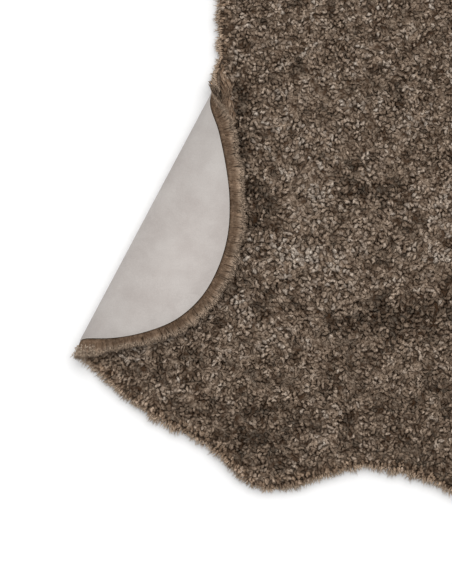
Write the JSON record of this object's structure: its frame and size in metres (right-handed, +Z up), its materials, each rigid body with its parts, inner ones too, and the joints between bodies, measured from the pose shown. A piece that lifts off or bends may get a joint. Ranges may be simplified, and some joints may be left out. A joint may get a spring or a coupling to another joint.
{
  "type": "sheepskin rug",
  "caption": "Grey-brown sheepskin rug with a short curly pile, lying wool side up with one hind leg folded over to show the pale bare side of the hide.",
  "frame": {"origin": "middle of the laid-out rug's box, at the floor", "axes": "+Z up out of the wool, +Y along the back towards the neck, +X to the right; the folded hind leg is at -X, -Y"},
  "size_m": [0.8351, 0.9928, 0.0461],
  "materials": {
    "suede": "matt tanned skin with a fine nap, pale warm grey, softly mottled",
    "wool": "short clipped curls, grey-brown with paler tips and dark roots, warmer brown at the rim"
  },
  "bodies": {
    "root": {"hide": "suede", "fleece": "wool"}
  },
  "joints": []
}
